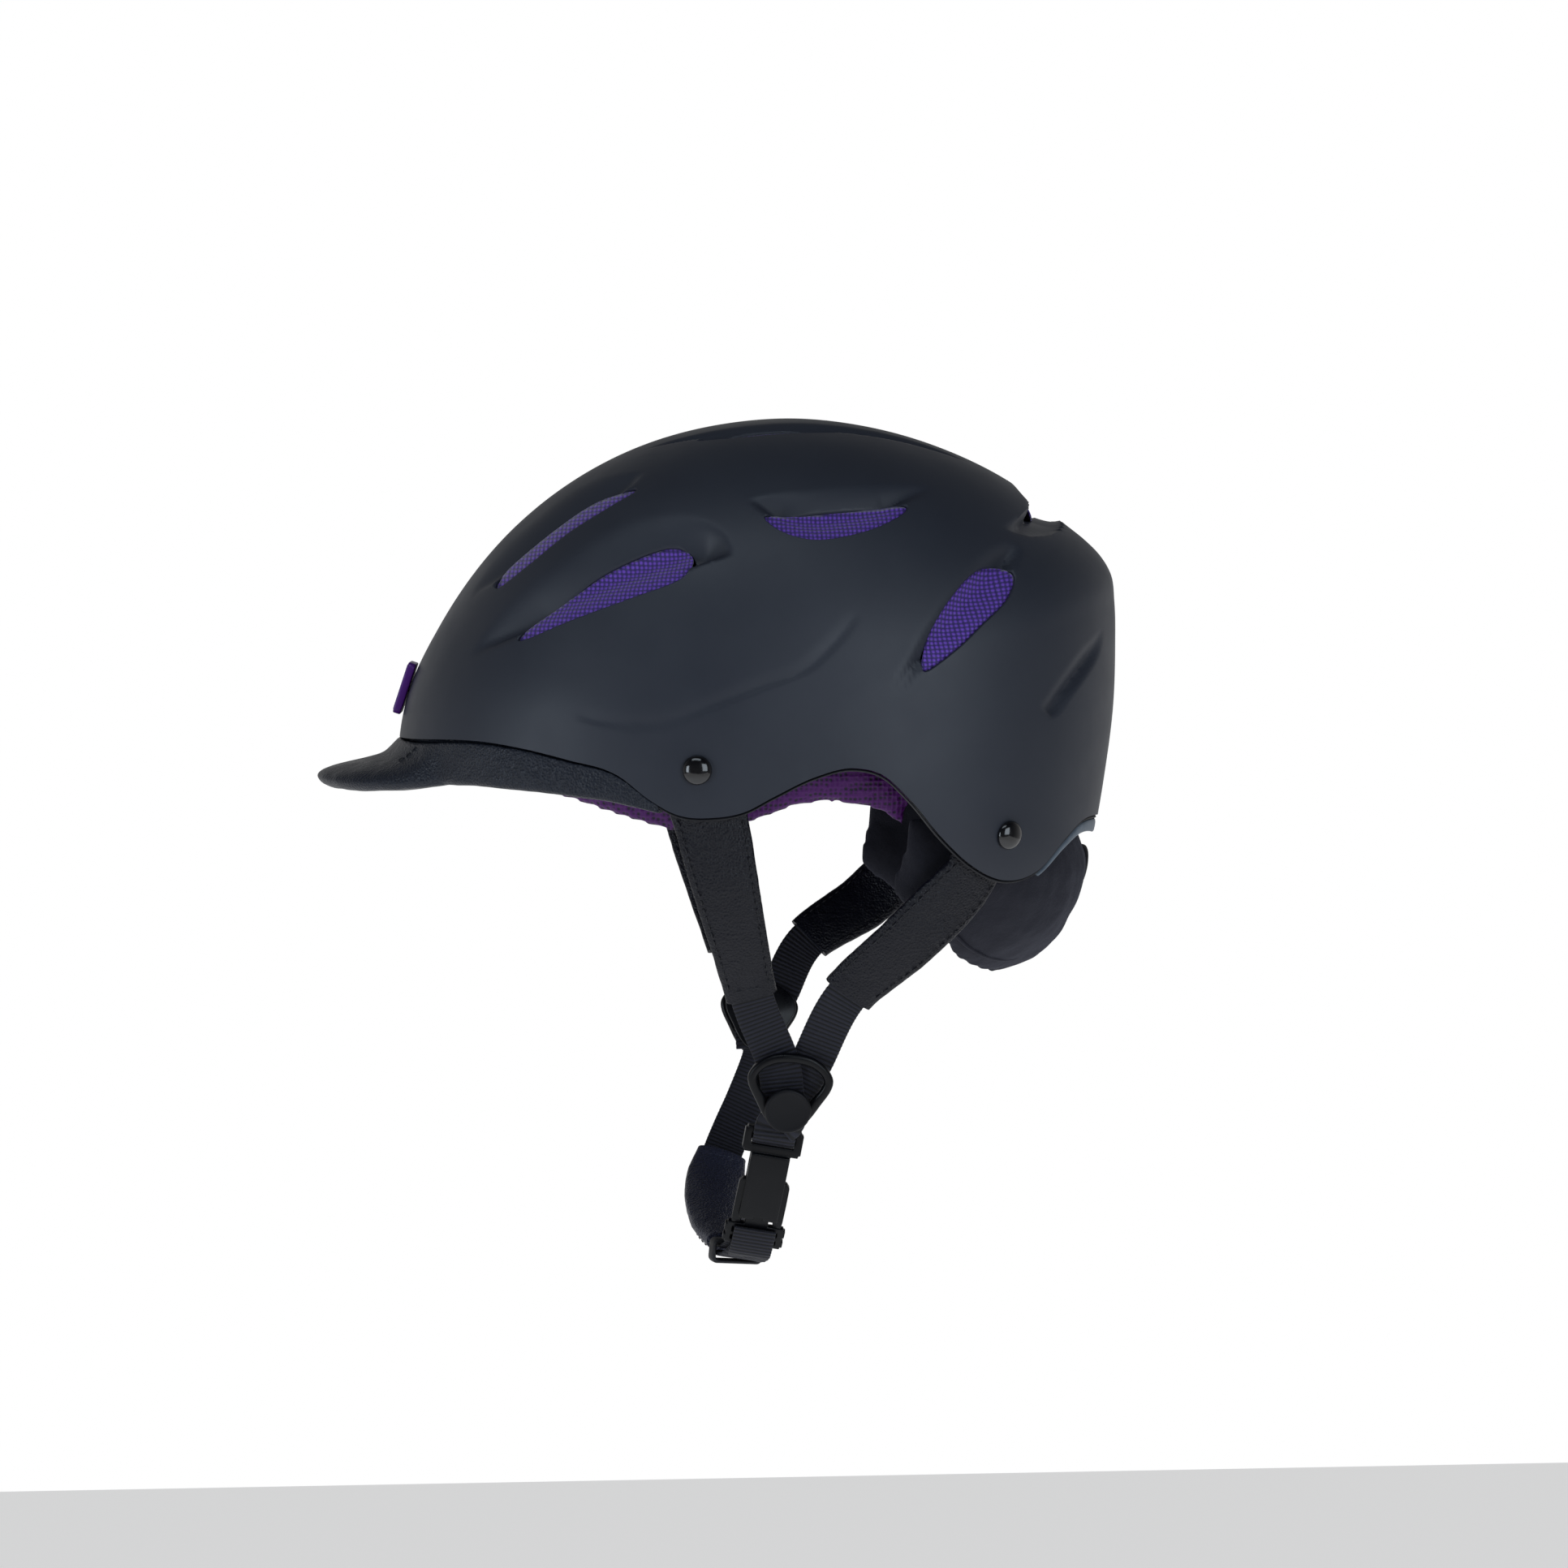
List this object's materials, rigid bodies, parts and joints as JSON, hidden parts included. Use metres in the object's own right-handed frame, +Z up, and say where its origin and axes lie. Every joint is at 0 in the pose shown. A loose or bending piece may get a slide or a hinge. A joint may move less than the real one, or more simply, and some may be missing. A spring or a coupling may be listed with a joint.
{
  "type": "equestrian riding helmet",
  "caption": "Vented riding helmet with a short soft brim, padded lining, leather-sleeved harness, strap dividers, swinging chin strap with a squeeze buckle and a flexing nape pad.",
  "frame": {"origin": "centre of the wearer's head opening, level with the hatband", "axes": "+Z up through the crown, -Y out over the brim, +X to the wearer's left"},
  "size_m": [0.2138, 0.3042, 0.3224],
  "materials": {
    "shell": "soft-touch matt paint on moulded shell",
    "foam": "expanded polystyrene, closed beads",
    "vent_mesh": "purple knitted mesh",
    "spacer_mesh": "purple padded spacer mesh",
    "nape_fabric": "black brushed knit over foam",
    "leather": "black synthetic leather, fine grain",
    "webbing": "black ribbed polyester webbing",
    "buckle_plastic": "satin moulded acetal",
    "rivet_gloss": "gloss black",
    "rubber": "matt black",
    "badge": "satin purple",
    "rear_grey": "satin grey"
  },
  "bodies": {
    "helmet": {"brim": "leather", "brow_pad": "spacer_mesh", "buckle_socket": "buckle_plastic", "crown_pad": "spacer_mesh", "divider_back_left": "buckle_plastic", "divider_back_right": "buckle_plastic", "divider_frame_left": "buckle_plastic", "divider_frame_right": "buckle_plastic", "eps_liner": "foam", "front_badge": "badge", "front_rivet_left": "rivet_gloss", "front_rivet_right": "rivet_gloss", "front_sleeve_left": "leather", "front_sleeve_right": "leather", "front_webbing_left": "webbing", "front_webbing_right": "webbing", "outer_shell": "shell", "rear_pad": "nape_fabric", "rear_rivet_left": "rivet_gloss", "rear_rivet_right": "rivet_gloss", "rear_sleeve_left": "leather", "rear_sleeve_right": "leather", "rear_trim": "rear_grey", "rear_webbing_left": "webbing", "rear_webbing_right": "webbing", "shell_edge_trim": "rubber", "temple_pad_left": "spacer_mesh", "temple_pad_right": "spacer_mesh", "vent_mesh_crown_front_left": "vent_mesh", "vent_mesh_crown_front_right": "vent_mesh", "vent_mesh_crown_slit_left": "vent_mesh", "vent_mesh_crown_slit_right": "vent_mesh", "vent_mesh_front_side_left": "vent_mesh", "vent_mesh_front_side_right": "vent_mesh", "vent_mesh_rear_scoop": "vent_mesh", "vent_mesh_rear_side_left": "vent_mesh", "vent_mesh_rear_side_right": "vent_mesh", "vent_mesh_side_top_left": "vent_mesh", "vent_mesh_side_top_right": "vent_mesh"},
    "chin_strap": {"chin_webbing": "webbing", "chin_pad": "leather", "strap_tail": "webbing", "strap_keeper": "rubber", "buckle_ladder": "buckle_plastic"},
    "nape_cradle": {"nape_pad": "nape_fabric", "nape_patch": "rubber", "nape_inlay": "badge"},
    "prong_rear": {"buckle_prong_rear": "buckle_plastic"},
    "prong_front": {"buckle_prong_front": "buckle_plastic"},
    "lock_left": {"divider_lock_left": "buckle_plastic"},
    "lock_right": {"divider_lock_right": "buckle_plastic"}
  },
  "joints": [
    {"name": "chin_strap_swing", "type": "hinge", "parent": "helmet", "child": "chin_strap", "pos_m": [-0.06, 0.0076, -0.122], "axis": [0, 0.9848, -0.1736], "range_deg": [0, 68], "deforming": ["buckle_prong_rear", "buckle_prong_front"]},
    {"name": "prong_rear_squeeze", "type": "hinge", "parent": "chin_strap", "child": "prong_rear", "pos_m": [0.0425, 0.00702, -0.17021], "axis": [0.907, -0.0731, -0.4146], "range_deg": [0, 6], "stiffness_Nm_per_rad": 0.05},
    {"name": "prong_front_squeeze", "type": "hinge", "parent": "chin_strap", "child": "prong_front", "pos_m": [0.0425, -0.00834, -0.1675], "axis": [0.907, -0.0731, -0.4146], "range_deg": [-6, 0], "stiffness_Nm_per_rad": 0.05},
    {"name": "lock_left_flip", "type": "hinge", "parent": "helmet", "child": "lock_left", "pos_m": [0.06821, 0.01027, -0.11528], "axis": [0.0004, -0.996, 0.089], "range_deg": [0, 95]},
    {"name": "lock_right_flip", "type": "hinge", "parent": "helmet", "child": "lock_right", "pos_m": [-0.06821, 0.00707, -0.10468], "axis": [0.0004, 0.996, -0.089], "range_deg": [0, 95]},
    {"name": "nape_flex", "type": "hinge", "parent": "helmet", "child": "nape_cradle", "pos_m": [0, 0.096, -0.014], "axis": [-1, 0, 0], "range_deg": [0, 8]}
  ],
  "couplings": [
    {"joint": "prong_front_squeeze", "follows": "prong_rear_squeeze", "ratio": -1}
  ]
}
